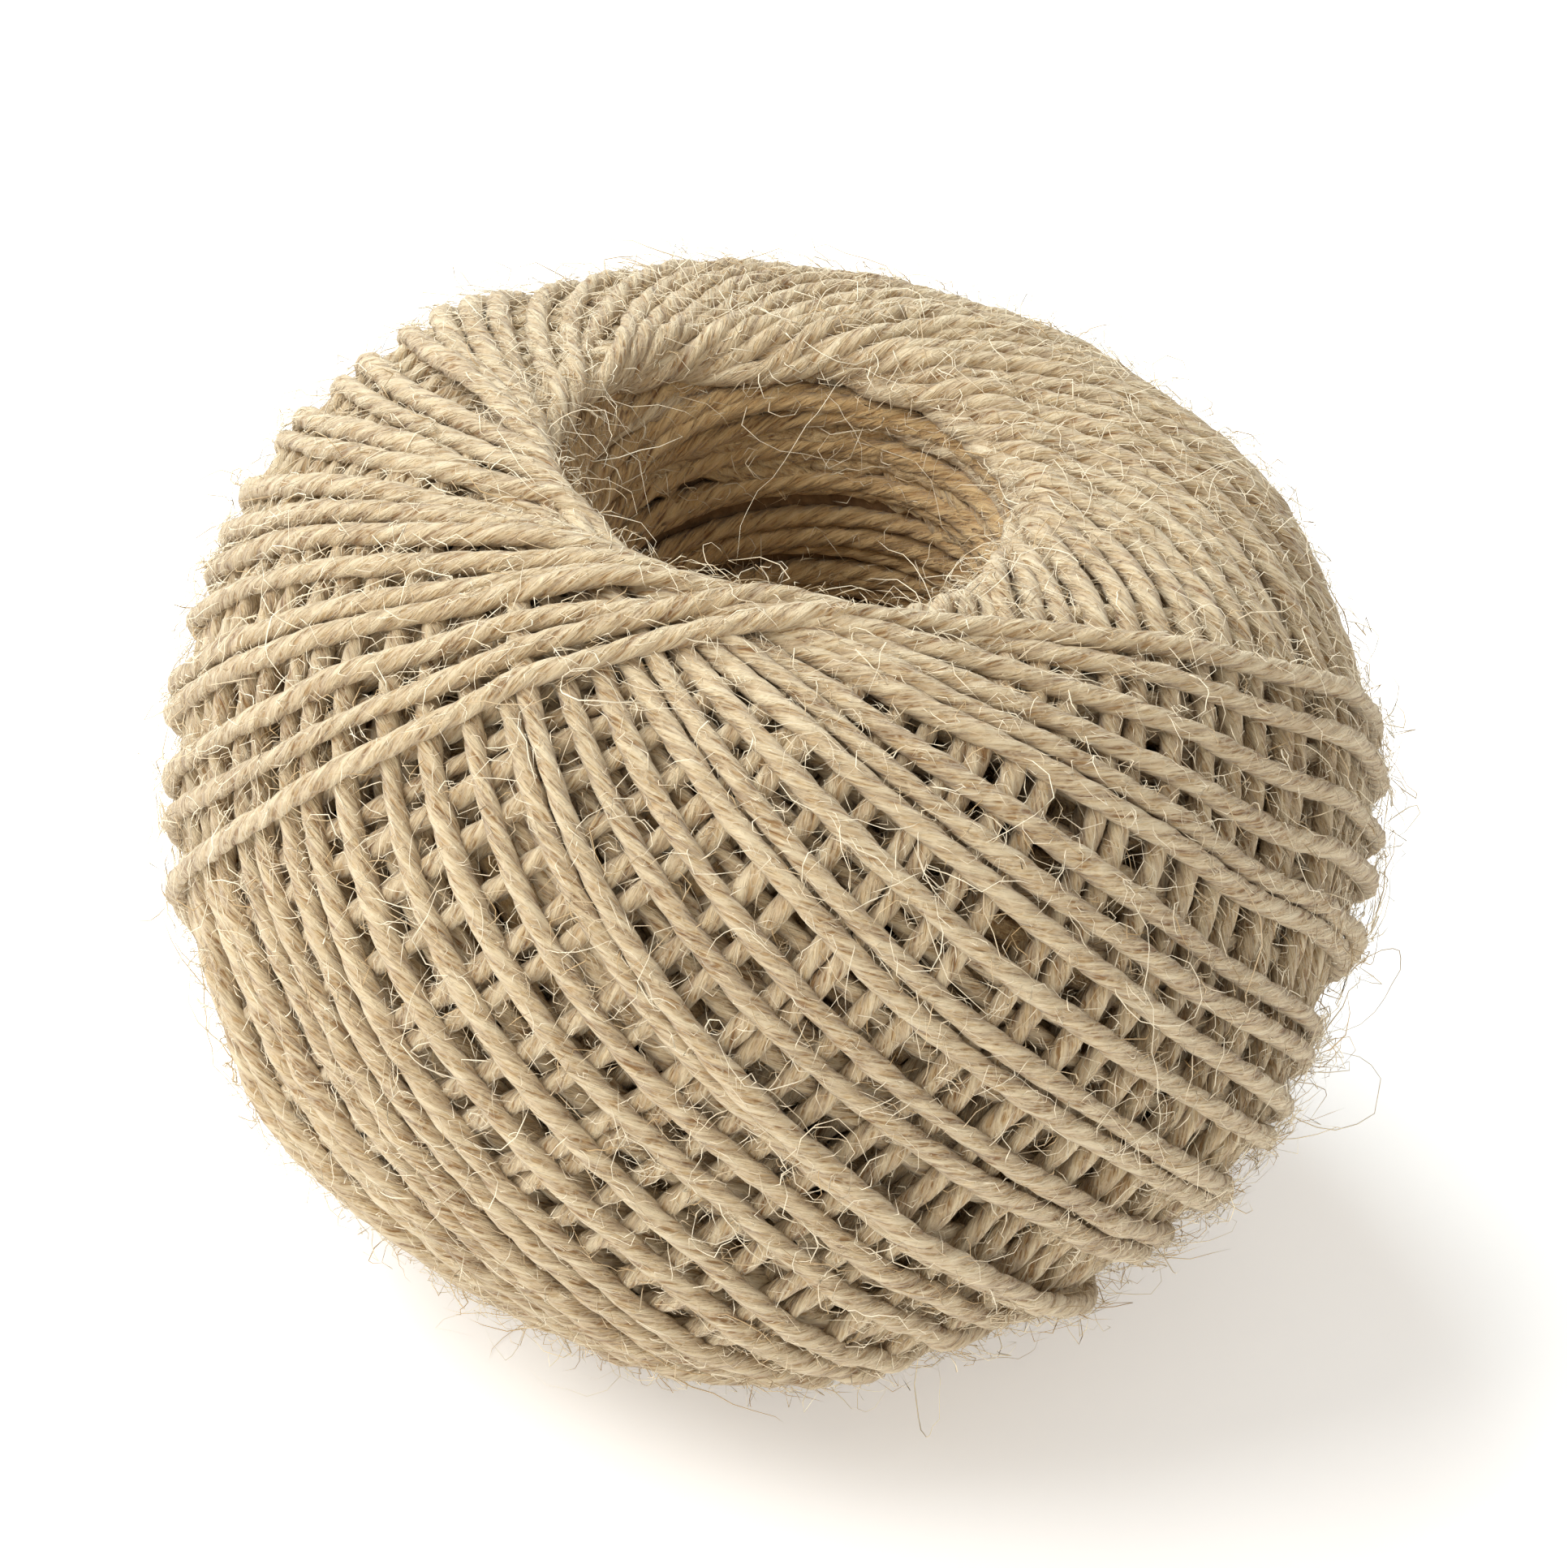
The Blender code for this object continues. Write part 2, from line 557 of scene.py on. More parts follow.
    def wind_wall(self, rings: int, layer: Layer) -> list[Route]:
        """Lay the turns that line the centre hole, each a slightly leaning ring.

        Args:
            rings: The number of rings, from the upper rim to the lower.
            layer: How finely they are modelled.

        Returns:
            The laid rings.
        """
        wall_start = self.form.side_table[-1]
        wall_end = self.form.length
        lag = np.linspace(0, tau, self.ring_points)
        laid = []
        for ring in self.rng.permutation(rings):
            middle = wall_start + (wall_end - wall_start) * (ring + 0.5) / rings
            swing = self.rng.uniform(*self.swing_range_mm) * MM
            phase = self.wall_low_side + self.rng.normal(0, self.low_side_spread)
            laid.append(self._lay(lag + phase, middle + swing * np.cos(lag), layer, None, True))
        return laid

    def strand(self, route: Route) -> Strand:
        """Turn a laid route into a length of string, once the whole ball is wound.

        Args:
            route: The route.

        Returns:
            The string.
        """
        level = self.pile.level()
        rows = (np.arange(len(level) + 1)) * self.form.length / len(level)
        level = np.interp(np.mod(route.along, self.form.length), rows, np.append(level, level[0]))
        lift = route.height - self.crest - level
        middle, outward = self.form.place(route.azimuth, route.along, lift)
        run = travelled(middle)
        lumps = (smooth_noise(self.rng, len(run), period) for period in self.lump_periods)
        uneven = sum(self.unevenness * lump for lump in lumps)
        radius = self.string_radius * (1 + uneven)
        middle[:, 2] = np.maximum(middle[:, 2], radius * self.floor_clearance)
        return Strand(middle, outward, radius, run, route.tone)


@dataclass(frozen=True)
class Ply:
    """How the string is twisted from its plies."""

    plies: int = 3
    pitch: float = 9.5 * MM
    groove: float = 0.17
    groove_sharpness: float = 1.3

    def turns(self, along: np.ndarray) -> np.ndarray:
        """Find how far the plies have turned round the string, at distances along it."""
        return -tau * along / self.pitch

    def section(self, sides: int) -> np.ndarray:
        """Find the corners' distances from the string's middle, as shares of its radius."""
        phase = self.plies * np.arange(sides) * tau / sides
        return 1 - self.groove * (0.5 + 0.5 * np.cos(phase)) ** self.groove_sharpness


def link(name: str, data: bpy.types.ID) -> bpy.types.Object:
    """Put an object in the scene.

    Args:
        name: Its name.
        data: What it holds.

    Returns:
        The object.
    """
    added = bpy.data.objects.new(name, data)
    bpy.context.scene.collection.objects.link(added)
    return added


def make_object(name: str, points: np.ndarray, faces: list[list[int]]) -> bpy.types.Object:
    """Make a mesh object from joined small shapes.

    Args:
        name: The piece's name.
        points: One row for each vertex.
        faces: Vertex numbers of each face.

    Returns:
        The object, linked to the scene and smoothly shaded.
    """
    data = bpy.data.meshes.new(name)
    data.from_pydata(points.tolist(), [], faces)
    data.shade_smooth()
    return link(name, data)


def add_attribute(piece: bpy.types.Object, name: str, values: np.ndarray) -> None:
    """Store one value or vector on every vertex.

    Args:
        piece: The mesh object.
        name: The attribute's name.
        values: One number or one row of three for each vertex.
    """
    vector = values.ndim == 2
    kind = "FLOAT_VECTOR" if vector else "FLOAT"
    attribute = piece.data.attributes.new(name, kind, "POINT")
    attribute.data.foreach_set("vector" if vector else "value", values.astype(np.float32).ravel())


def add_flat_map(piece: bpy.types.Object, places: np.ndarray) -> None:
    """Store a flat place from 0 to 1 each way for each corner of each face, so that colours can be baked."""
    layer = piece.data.uv_layers.new(name=FLAT_MAP)
    layer.uv.foreach_set("vector", places.astype(np.float32).ravel())


def dress(piece: bpy.types.Object, material: bpy.types.Material) -> None:
    """Give a piece its material and its body, and report it.

    Args:
        piece: The piece.
        material: Its material.
    """
    log.info("%s: %d faces", piece.name, len(piece.data.polygons))
    piece.data.materials.append(material)
    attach(piece, BODY)


@dataclass
class StringMesh:
    """Sweeps the twisted string along laid strands."""

    ply: Ply
    rows_filled: float = 0.9
    band_shape: float = 2.2
    cap_places: tuple[Pair, ...] = ((0.0, -0.05), (0.5, -0.01), (1.0, -0.05))

    def build(self, name: str, strands: list[Strand], fineness: Fineness) -> bpy.types.Object:
        """Make one piece of several lengths of string.

        Args:
            name: The piece's name.
            strands: The lengths.
            fineness: How finely they are cut into faces.

        Returns:
            The piece.
        """
        sides = fineness.sides
        points: list[np.ndarray] = []
        lay: list[np.ndarray] = []
        tone: list[np.ndarray] = []
        faces: list[list[int]] = []
        start = 0
        for strand in strands:
            ring_points, ring_lay = self._rings(strand, fineness)
            count = len(strand.middle)
            points += [ring_points.reshape(-1, 3), strand.middle[[0, -1]]]
            ends = np.column_stack([np.zeros((2, 2)), strand.along[[0, -1]]])
            lay += [ring_lay.reshape(-1, 3), ends]
            tone += [np.repeat(strand.tone, sides), strand.tone[[0, -1]]]
            faces += self._faces(start, count, sides)
            start += count * sides + 2
        piece = make_object(name, np.concatenate(points), faces)
        add_attribute(piece, "lay", np.concatenate(lay))
        add_attribute(piece, "tone", np.concatenate(tone))
        add_flat_map(piece, self._flat_map([len(strand.middle) for strand in strands], sides))
        return piece

    def _rings(self, strand: Strand, fineness: Fineness) -> Arrays:
        """Work out the cross-sections of one length.

        Args:
            strand: The length of string.
            fineness: How finely it is cut into faces.

        Returns:
            The points, and their places in the twist: across, across and along.
        """
        _, out, across = strand.frames()
        sides = fineness.sides
        corner = np.arange(sides)[None, :] * tau / sides
        turned = self.ply.turns(strand.along)[:, None]
        if fineness.plied:
            angle, share, in_twist = corner + turned, self.ply.section(sides), corner + 0 * turned
        else:
            angle, share, in_twist = corner + 0 * turned, np.ones(sides), corner - turned
        radius = share[None, :] * strand.radius[:, None]
        angle = angle[..., None]
        turn = np.cos(angle) * out[:, None, :] + np.sin(angle) * across[:, None, :]
        points = strand.middle[:, None, :] + turn * radius[..., None]
        size = strand.radius.mean()
        run = np.broadcast_to(strand.along[:, None], radius.shape)
        return points, np.stack([np.cos(in_twist) * size, np.sin(in_twist) * size, run], axis=-1)

    def _faces(self, start: int, count: int, sides: int) -> list[list[int]]:
        """Join the cross-sections of one length, with closed ends.

        Args:
            start: The number of its first vertex.
            count: The number of cross-sections.
            sides: The number of sides.

        Returns:
            The faces, which point outwards.
        """
        ring = start + np.arange(count - 1)[:, None] * sides
        this = np.arange(sides)[None, :]
        after = (this + 1) % sides
        tube = np.stack([ring + this, ring + after, ring + sides + after, ring + sides + this], axis=-1)
        faces = tube.reshape(-1, 4).tolist()
        head = start + count * sides
        last = start + (count - 1) * sides
        for side in range(sides):
            beyond = (side + 1) % sides
            faces.append([head, start + beyond, start + side])
            faces.append([head + 1, last + side, last + beyond])
        return faces

    def _flat_map(self, counts: list[int], sides: int) -> np.ndarray:
        """Lay the strings out side by side as flat bands, cut into rows.

        Args:
            counts: The number of cross-sections of each length.
            sides: The number of sides.

        Returns:
            A place for each corner of each face.
        """
        total = sum(counts)
        rows = max(1, int(round(sqrt(total / (self.band_shape * sides)))))
        per_row = int(np.ceil(total / rows))
        places: list[np.ndarray] = []
        before = 0
        for count in counts:
            ring = before + np.arange(count - 1)[:, None]
            side = np.arange(sides)[None, :]
            left = (ring % per_row) / per_row + 0 * side
            right = left + 1 / per_row
            low = (ring // per_row + self.rows_filled * side / sides) / rows
            high = low + self.rows_filled / (sides * rows)
            corners = [(left, low), (left, high), (right, high), (right, low)]
            tube = np.stack([np.stack(corner, axis=-1) for corner in corners], axis=2)
            ends = np.tile(self.cap_places, (2 * sides, 1))
            ends = ends * [1 / per_row, 1 / rows] + [left[0, 0], (before // per_row + 1) / rows]
            places += [tube.reshape(-1, 2), ends]
            before += count
        return np.concatenate(places)


# ---- Loose fibres ----


@dataclass(frozen=True)
class FibreKind:
    """One kind of loose fibre: how many, how long and how they stand off the string."""

    name: str
    count: int
    segments: int
    shortest: float
    longest: float
    lift: float
    curl: float
    kink: float
    thickness: float


FIBRES = (
    FibreKind("short_fibres", 30500, 2, 1.6 * MM, 4.5 * MM, 0.55 * MM, 1.8, 0.3, 0.1 * MM),
    FibreKind("curled_fibres", 9500, 4, 2.5 * MM, 7.5 * MM, 0.75 * MM, 2.6, 0.4, 0.1 * MM),
    FibreKind("long_fibres", 2700, 7, 5.0 * MM, 15.0 * MM, 1.0 * MM, 4.0, 0.45, 0.1 * MM),
    FibreKind("stray_fibres", 200, 14, 9.0 * MM, 26.0 * MM, 2.0 * MM, 2.5, 0.25, 0.11 * MM),
)


@dataclass
class Fuzz:
    """The loose fibres over the ball."""

    strands: list[Strand]
    floor_gap: float = 0.1 * MM
    side_spread: float = 0.75
    root_depth: float = 0.86
    length_power: float = 2.2
    heading_spread: float = 0.95
    bend_change: float = 1.5
    lift_shape: Pair = (1.6, 0.6)
    most_fall: float = 1.3
    ripple: float = 0.25
    ball_curve: float = 46.0 * MM
    aside_guide: tuple[float, float, float] = (0.31, 0.52, 0.79)
    taper_start: float = 1.25
    taper: float = 0.9
    thinness: Pair = (0.6, 1.25)
    tiny: float = 1e-12
    seed: int = 5

    def __post_init__(self) -> None:
        """Gather the places that fibres can start from."""
        self.rng = np.random.default_rng(self.seed)
        frames = [strand.frames() for strand in self.strands]
        self.middle = np.concatenate([strand.middle for strand in self.strands])
        self.radius = np.concatenate([strand.radius for strand in self.strands])
        self.run, self.out, self.across = (np.concatenate(column) for column in zip(*frames))

    def build(self, kind: FibreKind) -> bpy.types.Object:
        """Make one piece of fibres.

        Args:
            kind: What they are like.

        Returns:
            The piece.
        """
        routes = self._routes(kind)
        points, faces, pattern = self._tubes(routes, kind)
        piece = make_object(kind.name, points, faces)
        add_flat_map(piece, self._flat_map(kind, pattern))
        per_fibre = points.shape[0] // kind.count
        add_attribute(piece, "tone", np.repeat(self.rng.random(kind.count), per_fibre))
        return piece

    def _routes(self, kind: FibreKind) -> np.ndarray:
        """Lay out the fibres' middle lines.

        Args:
            kind: What they are like.

        Returns:
            Points by fibre and by place along it.
        """
        rng = self.rng
        pick = rng.integers(0, len(self.middle), kind.count)
        angle = rng.normal(0, self.side_spread, kind.count)
        run, out, across = self.run[pick], self.out[pick], self.across[pick]
        start = out * np.cos(angle)[:, None] + across * np.sin(angle)[:, None]
        start = self.middle[pick] + start * (self.radius[pick] * self.root_depth)[:, None]
        extra = rng.random(kind.count) ** self.length_power
        length = kind.shortest + (kind.longest - kind.shortest) * extra
        heading = rng.normal(0, self.heading_spread, kind.count) + pi * rng.integers(0, 2, kind.count)
        bend = rng.normal(0, kind.curl, kind.count)
        bend_change = rng.normal(0, kind.curl * self.bend_change, kind.count)
        lift = kind.lift * rng.gamma(*self.lift_shape, kind.count)
        fall = rng.uniform(0.0, self.most_fall, kind.count)
        share = np.linspace(0, 1, kind.segments + 1)
        step = 1 / kind.segments
        wander = np.cumsum(rng.normal(0, kind.kink, (kind.count, kind.segments + 1)), axis=1)
        turn = heading[:, None] + bend[:, None] * share + 0.5 * bend_change[:, None] * share**2 + wander
        flat_run = np.cumsum(np.cos(turn), axis=1) - np.cos(turn[:, :1])
        flat_across = np.cumsum(np.sin(turn), axis=1) - np.sin(turn[:, :1])
        size = (length * step)[:, None]
        rise = lift[:, None] * np.sin(pi * np.minimum(share * (0.5 + 0.5 * fall[:, None]), 1.0))
        ripple = rng.normal(0, 1, (kind.count, kind.segments + 1))
        rise = rise + ripple * self.ripple * kind.lift * share
        away = (flat_run * size) ** 2 + (flat_across * size) ** 2
        rise = rise - away / (2 * self.ball_curve)
        routes = (
            start[:, None, :]
            + run[:, None, :] * (flat_run * size)[..., None]
            + across[:, None, :] * (flat_across * size)[..., None]
            + out[:, None, :] * rise[..., None]
        )
        routes[..., 2] = np.maximum(routes[..., 2], self.floor_gap)
        return routes

    def _tubes(self, routes: np.ndarray, kind: FibreKind) -> tuple[np.ndarray, list, list[np.ndarray]]:
        """Give the fibres a three-sided body that tapers to a point at both ends.

        Args:
            routes: The middle lines.
            kind: What the fibres are like.

        Returns:
            The vertices, the faces that join them, and the faces of the first fibre alone.
        """
        run = np.gradient(routes, axis=1)
        run /= np.linalg.norm(run, axis=2, keepdims=True) + self.tiny
        aside = np.cross(run, np.array(self.aside_guide))
        aside /= np.linalg.norm(aside, axis=2, keepdims=True) + self.tiny
        up = np.cross(run, aside)
        inner = kind.segments - 1
        share = np.linspace(0, 1, kind.segments + 1)[1:-1]
        taper = np.minimum(1.0, self.taper_start - self.taper * share)
        thick = kind.thickness * self.rng.uniform(*self.thinness, kind.count)
        radius = 0.5 * thick[:, None] * taper[None, :]
        angle = np.arange(3) * tau / 3
        turn = (
            np.cos(angle)[None, None, :, None] * aside[:, 1:-1, None, :]
            + np.sin(angle)[None, None, :, None] * up[:, 1:-1, None, :]
        )
        rings = routes[:, 1:-1, None, :] + turn * radius[:, :, None, None]
        rings = rings.reshape(kind.count, inner * 3, 3)
        points = np.concatenate([routes[:, :1], rings, routes[:, -1:]], axis=1)
        pattern = self._tube_faces(inner)
        per_fibre = inner * 3 + 2
        starts = (np.arange(kind.count) * per_fibre)[:, None, None]
        faces: list[list[int]] = []
        for shape in pattern:
            faces += (starts + shape[None]).reshape(-1, shape.shape[1]).tolist()
        return points.reshape(-1, 3), faces, pattern

    def _flat_map(self, kind: FibreKind, pattern: list[np.ndarray]) -> np.ndarray:
        """Lay each fibre out in a small square of its own.

        Args:
            kind: What the fibres are like.
            pattern: The faces of one fibre.

        Returns:
            A place for each corner of each face.
        """
        across = int(np.ceil(sqrt(kind.count)))
        number = np.arange(kind.count)
        squares = np.stack([number % across, number // across], axis=-1)[:, None, :]
        inner = kind.segments - 1
        vertices = np.zeros((inner * 3 + 2, 2))
        vertices[1:-1, 0] = np.repeat(np.arange(1, inner + 1), 3) / kind.segments
        vertices[1:-1, 1] = np.tile([0.1, 0.5, 0.9], inner)
        vertices[-1] = (1.0, 0.5)
        vertices[0] = (0.0, 0.5)
        vertices = 0.1 + 0.8 * vertices
        places = [
            ((squares + vertices[shape.ravel()][None]) / across).reshape(-1, 2)
            for shape in pattern
        ]
        return np.concatenate(places)

    def _tube_faces(self, inner: int) -> list[np.ndarray]:
        """Number the faces of one fibre.

        Args:
            inner: The number of three-sided rings between its tips.

        Returns:
            Its triangles and its four-sided faces.
        """
        tip = inner * 3 + 1
        last = 1 + (inner - 1) * 3
        tips = []
        walls = []
        for side in range(3):
            beyond = (side + 1) % 3
            tips.append([0, 1 + beyond, 1 + side])
            tips.append([tip, last + side, last + beyond])
            for ring in range(inner - 1):
                low = 1 + ring * 3
                walls.append([low + side, low + beyond, low + 3 + beyond, low + 3 + side])
        groups = [np.array(tips)]
        if walls:
            groups.append(np.array(walls))
        return groups


# ---- Materials ----


class Value:
    """A shader socket that can be used in arithmetic."""

    def __init__(self, shader: Shader, socket: bpy.types.NodeSocket) -> None:
        """Keep a socket and the shader that it belongs to.

        Args:
            shader: The shader.
            socket: An output socket.
        """
        self.shader = shader
        self.socket = socket

    @staticmethod
    def _operator(operation: str, reflected: bool = False) -> Callable[..., Value]:
        """Make a method that adds a Math node.

        Args:
            operation: What the node does.
            reflected: Whether the other value comes first.

        Returns:
            The method.
        """

        def apply(self: Value, *others: Value | float) -> Value:
            """Add the node and return its result."""
            inputs = (*others, self) if reflected else (self, *others)
            return self.shader.node("ShaderNodeMath", {"operation": operation}, dict(enumerate(inputs)))

        return apply

    __add__ = _operator("ADD")
    __radd__ = _operator("ADD", True)
    __sub__ = _operator("SUBTRACT")
    __rsub__ = _operator("SUBTRACT", True)
    __mul__ = _operator("MULTIPLY")
    __rmul__ = _operator("MULTIPLY", True)
    __pow__ = _operator("POWER")
    __rpow__ = _operator("POWER", True)
    size = _operator("ABSOLUTE")
    greater = _operator("MAXIMUM")
    cosine = _operator("COSINE")
    angle_from = _operator("ARCTAN2")

    def clamped(self) -> Value:
        """Keep the value from 0 to 1."""
        return self.shader.node("ShaderNodeClamp", {}, {"Value": self})


@dataclass(frozen=True)
class Grain:
    """A noise pattern. A lower stretch draws it out along the string, and the scale is per metre."""

    stretch: float
    scale: float
    detail: float
    roughness: float = 0.5


class Shader:
    """Builds one material's nodes."""

    def __init__(self, name: str) -> None:
        """Start a material.

        Args:
            name: The material's name.
        """
        self.material = bpy.data.materials.new(name)
        self.material.use_nodes = True
        self.tree = self.material.node_tree
        self.surface = self.tree.nodes["Principled BSDF"]

    def node(self, kind: str, settings: dict, inputs: dict, output: int | str = 0) -> Value:
        """Add any node.

        Args:
            kind: The node's type.
            settings: Its properties, which are set first.
            inputs: Values or links of its sockets, by name or number.
            output: The output that is wanted.

        Returns:
            The output.
        """
        added = self.tree.nodes.new(kind)
        for key, setting in settings.items():
            if key == "stops":
                self._set_stops(added.color_ramp, setting)
            else:
                setattr(added, key, setting)
        for key, value in inputs.items():
            self.feed(added.inputs[key], value)
        return Value(self, added.outputs[output])

    def _set_stops(self, ramp: bpy.types.ColorRamp, stops: dict[float, Colour]) -> None:
        """Set a colour ramp's stops.

        Args:
            ramp: The ramp.
            stops: Colours by position.
        """
        while len(ramp.elements) < len(stops):
            ramp.elements.new(0.5)
        for element, (position, colour) in zip(ramp.elements, stops.items()):
            element.position = position
            element.color = colour

    def feed(self, socket: bpy.types.NodeSocket, value: Value | float | tuple) -> None:
        """Link or set one input.

        Args:
            socket: The input.
            value: A link or a constant.
        """
        if isinstance(value, Value):
            self.tree.links.new(value.socket, socket)
        else:
            socket.default_value = value

    def attribute(self, name: str, output: str) -> Value:
        """Read a value that is stored on the mesh, as Fac or as Vector."""
        return self.node("ShaderNodeAttribute", {"attribute_name": name}, {}, output)

    def noise(self, place: Value, grain: Grain) -> Value:
        """Add a noise pattern.

        Args:
            place: Where it is read.
            grain: What it is like.

        Returns:
            Numbers about 0.5.
        """
        scale = (1.0, 1.0, grain.stretch)
        inputs = {
            "Vector": self.node("ShaderNodeVectorMath", {"operation": "MULTIPLY"}, {0: place, 1: scale}),
            "Scale": grain.scale,
            "Detail": grain.detail,
            "Roughness": grain.roughness,
        }
        return self.node("ShaderNodeTexNoise", {}, inputs)

    def ramp(self, factor: Value, stops: dict[float, Colour]) -> Value:
        """Turn a value into a colour, by colours at positions from 0 to 1."""
        return self.node("ShaderNodeValToRGB", {"stops": stops}, {0: factor})

    def mix(self, factor: Value, low: Value | Colour, high: Value | Colour, blend: str = "MIX") -> Value:
        """Mix two colours, where the factor is the share of the second."""
        settings = {"data_type": "RGBA", "blend_type": blend}
        return self.node("ShaderNodeMix", settings, {0: factor, 6: low, 7: high}, 2)

    def bump(self, height: Value, strength: float, distance: float) -> Value:
        """Turn heights into a bumpy surface."""
        inputs = {"Strength": strength, "Distance": distance, "Height": height}
        return self.node("ShaderNodeBump", {}, inputs, "Normal")

    def finish(self, **inputs: Value | float | Colour) -> bpy.types.Material:
        """Feed the surface's inputs.

        Args:
            inputs: Values or links by the inputs' names, in small letters with underscores.

        Returns:
            The material.
        """
        names = {socket.name.replace(" ", "_").lower(): socket for socket in self.surface.inputs}
        for name, value in inputs.items():
            self.feed(names[name], value)
        return self.material


@dataclass(frozen=True)
class JuteFinish:
    """The look of the twisted string, with painted shade in the grooves between its plies."""

    name: str = "jute_string"
    hair: Colour = (0.84, 0.73, 0.53, 1.0)
    pale: Colour = (0.77, 0.63, 0.41, 1.0)
    straw: Colour = (0.54, 0.38, 0.195, 1.0)
    brown: Colour = (0.30, 0.165, 0.06, 1.0)
    # painted shade: the colour that is multiplied into the grooves between the plies
    groove_shade: Colour = (0.60, 0.43, 0.25, 1.0)
    straw_at: float = 0.30
    pale_at: float = 0.95
    warp: Grain = Grain(0.3, 1100.0, 2.0)
    warp_size: float = 1.4
    streak: Grain = Grain(0.1, 3600.0, 5.0, 0.7)
    coarse: Grain = Grain(0.2, 1700.0, 4.0, 0.62)
    patch: Grain = Grain(0.7, 150.0, 2.0)
    shades: tuple[float, float, float] = (4.4, 2.2, 1.2)
    tone_share: float = 0.25
    groove_sharpness: float = 2.6
    # how strongly the painted groove shade darkens the colour
    groove_shade_share: float = 0.6
    hair_lines: tuple[tuple[Grain, float], ...] = (
        (Grain(0.3, 1300.0, 1.5), 11.0),
        (Grain(0.55, 1900.0, 1.5), 9.0),
    )
    hair_share: float = 0.45
    heights: tuple[float, float, float, float] = (0.4, 0.9, 0.8, 0.3)
    bump_strength: float = 0.9
    bump_distance: float = 0.32 * MM
    roughness: float = 0.72
    sheen: float = 0.3
    specular: float = 0.25

    def material(self, ply: Ply) -> bpy.types.Material:
        """Make the material.

        Args:
            ply: The string's twist, which the grooves follow.

        Returns:
            The material.
        """
        shader = Shader(self.name)
        lay = shader.attribute("lay", "Vector")
        tone = shader.attribute("tone", "Fac")
        across, up = (shader.node("ShaderNodeSeparateXYZ", {}, {0: lay}, axis) for axis in ("X", "Y"))
        phase = up.angle_from(across) * ply.plies + (shader.noise(lay, self.warp) - 0.5) * self.warp_size
        groove = (0.5 + phase.cosine() * 0.5) ** self.groove_sharpness
        grains = (self.streak, self.coarse, self.patch)
        streak, coarse, patch = (shader.noise(lay, grain) - 0.5 for grain in grains)
        shade = streak * self.shades[0] + coarse * self.shades[1] + patch * self.shades[2]
        light = (shade + 0.5 + (tone - 0.5) * self.tone_share).clamped()
        lines = (self._hairs(shader.noise(lay, grain), sharpness) for grain, sharpness in self.hair_lines)
        fine, loose = lines
        hairs = fine.greater(loose)
        colour = shader.ramp(light, {0.0: self.brown, self.straw_at: self.straw, self.pale_at: self.pale})
        # painted shade: the grooves between the plies are darkened in the base colour, besides their bump
        colour = shader.mix((groove * self.groove_shade_share).clamped(), colour, self.groove_shade, "MULTIPLY")
        colour = shader.mix(hairs * self.hair_share, colour, self.hair)
        sizes = self.heights
        height = (0.5 - groove * sizes[0]) + streak * sizes[1] + coarse * sizes[2] + hairs * sizes[3]
        return shader.finish(
            base_color=colour,
            normal=shader.bump(height, self.bump_strength, self.bump_distance),
            roughness=self.roughness,
            sheen_weight=self.sheen,
            specular_ior_level=self.specular,
        )

    def _hairs(self, pattern: Value, sharpness: float) -> Value:
        """Mark fine curling fibres, where a noise pattern crosses its middle."""
        return (1 - (pattern - 0.5).size() * sharpness).clamped()


# painted shade: a warmer, more saturated copy of the string's colours, standing in for the warm shade between
# the turns
INNER_SHADE_JUTE = JuteFinish(
    name="inner_jute_string",
    pale=(0.74, 0.56, 0.31, 1.0),
    straw=(0.56, 0.37, 0.165, 1.0),
    brown=(0.32, 0.165, 0.05, 1.0),
    hair=(0.78, 0.60, 0.34, 1.0),
)
# painted shade: a darker, warmer copy of the string's colours, standing in for the shade inside the centre
# hole
HOLE_SHADE_JUTE = JuteFinish(
    name="hole_jute_string",
    pale=(0.76, 0.54, 0.27, 1.0),
    straw=(0.56, 0.35, 0.145, 1.0),
    brown=(0.27, 0.14, 0.045, 1.0),
    hair=(0.74, 0.54, 0.28, 1.0),
)


@dataclass(frozen=True)
class FibreFinish:
    """The look of the loose fibres."""

    dark: Colour = (0.55, 0.38, 0.19, 1.0)
    pale: Colour = (0.93, 0.83, 0.64, 1.0)
    pale_at: float = 0.45
    roughness: float = 0.5
    specular: float = 0.3

    def material(self) -> bpy.types.Material:
        """Make the material.

        Returns:
            The material.
        """
        shader = Shader("loose_fibre")
        colour = shader.ramp(shader.attribute("tone", "Fac"), {0.0: self.dark, self.pale_at: self.pale})
        return shader.finish(base_color=colour, roughness=self.roughness, specular_ior_level=self.specular)


@dataclass(frozen=True)
class PackedShadeFinish:
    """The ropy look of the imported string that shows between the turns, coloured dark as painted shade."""

    # painted shade: both colours are far darker than the string, since this body is seen only in the shade of
    # the gaps
    dark: Colour = (0.13, 0.07, 0.03, 1.0)
    light: Colour = (0.30, 0.19, 0.10, 1.0)
    dark_at: float = 0.3
    light_at: float = 0.7
    grain: Grain = Grain(1.0, 900.0, 4.0, 0.6)
    bump_strength: float = 0.8
    bump_distance: float = 0.4 * MM
    roughness: float = 0.9

    def material(self) -> bpy.types.Material:
        """Make the material.

        Returns:
            The material.
        """
        shader = Shader("packed_string")
        grain = shader.noise(shader.node("ShaderNodeTexCoord", {}, {}, "Object"), self.grain)
        colour = shader.ramp(grain, {self.dark_at: self.dark, self.light_at: self.light})
        bump = shader.bump(grain, self.bump_strength, self.bump_distance)
        return shader.finish(base_color=colour, normal=bump, roughness=self.roughness)


# ---- The ball ----


